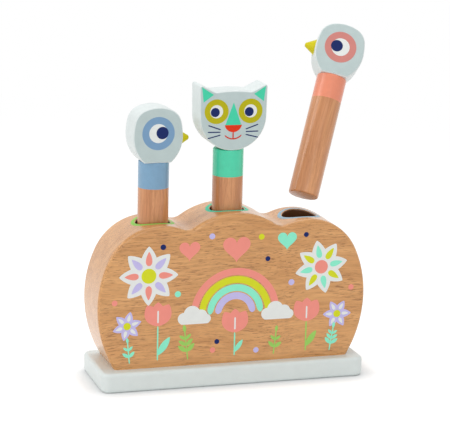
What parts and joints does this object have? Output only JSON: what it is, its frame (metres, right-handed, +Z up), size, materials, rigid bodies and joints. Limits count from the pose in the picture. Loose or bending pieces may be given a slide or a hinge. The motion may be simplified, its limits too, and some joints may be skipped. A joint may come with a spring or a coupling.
{
  "type": "pop up peg toy",
  "caption": "Wooden pop up toy: a three lobed block on a base board, with sprung wells and round pegs topped by a bird, a cat and a second bird.",
  "frame": {"origin": "middle of the base board's underside", "axes": "+X along the toy from the left bird to the right well, +Y from the animals' faces to their backs, +Z up"},
  "size_m": [0.2124, 0.0904, 0.244],
  "materials": {
    "white_paint": "satin white paint on wood",
    "block_wood": "clear satin lacquer on fine grained hardwood",
    "peg_wood": "clear satin lacquer, painted band at the top",
    "turned_wood": "bare turned beech",
    "head_paint": "satin pale grey paint on wood",
    "beak_paint": "satin yellow paint on wood",
    "spring_steel": "bright spring wire",
    "screw_steel": "zinc plated"
  },
  "bodies": {
    "block": {"base_board": "white_paint", "body_block": "block_wood", "base_screws": "screw_steel", "spring_seats": "turned_wood"},
    "left_spring": {"left_spring": "spring_steel"},
    "left_plunger": {"left_plunger": "turned_wood"},
    "left_peg": {"left_dowel": "peg_wood", "left_neck_pin": "turned_wood", "left_bird_head": "head_paint", "left_beak": "beak_paint"},
    "middle_spring": {"middle_spring": "spring_steel"},
    "middle_plunger": {"middle_plunger": "turned_wood"},
    "middle_peg": {"middle_dowel": "peg_wood", "middle_neck_pin": "turned_wood", "cat_head": "head_paint"},
    "right_spring": {"right_spring": "spring_steel"},
    "right_plunger": {"right_plunger": "turned_wood"},
    "right_peg": {"right_dowel": "peg_wood", "right_neck_pin": "turned_wood", "right_bird_head": "head_paint", "right_beak": "beak_paint"}
  },
  "joints": [
    {"name": "left_turn", "type": "hinge", "parent": "block", "child": "left_spring", "pos_m": [-0.0538, 0, 0.014], "axis": [0, 0, 1], "continuous": true},
    {"name": "left_press", "type": "slide", "parent": "left_spring", "child": "left_plunger", "axis": [0, 0, 1], "range_m": [-0.033, 0.002], "stiffness_N_per_m": 180, "springref_m": 0.0021, "deforming": ["left_spring"]},
    {"name": "left_lift", "type": "slide", "parent": "left_plunger", "child": "left_peg", "axis": [0, 0, 1], "range_m": [0, 0.12]},
    {"name": "middle_turn", "type": "hinge", "parent": "block", "child": "middle_spring", "pos_m": [0, 0, 0.014], "axis": [0, 0, 1], "continuous": true},
    {"name": "middle_press", "type": "slide", "parent": "middle_spring", "child": "middle_plunger", "axis": [0, 0, 1], "range_m": [-0.033, 0.002], "stiffness_N_per_m": 180, "springref_m": 0.0036, "deforming": ["middle_spring"]},
    {"name": "middle_lift", "type": "slide", "parent": "middle_plunger", "child": "middle_peg", "axis": [0, 0, 1], "range_m": [0, 0.12]},
    {"name": "right_turn", "type": "hinge", "parent": "block", "child": "right_spring", "pos_m": [0.0538, 0, 0.014], "axis": [0, 0, 1], "continuous": true},
    {"name": "right_press", "type": "slide", "parent": "right_spring", "child": "right_plunger", "axis": [0, 0, 1], "range_m": [-0.033, 0.002], "stiffness_N_per_m": 180, "deforming": ["right_spring"]},
    {"name": "right_lift", "type": "slide", "parent": "block", "child": "right_peg", "axis": [0.3344, 0.3403, 0.8788], "range_m": [0, 0.06]}
  ]
}
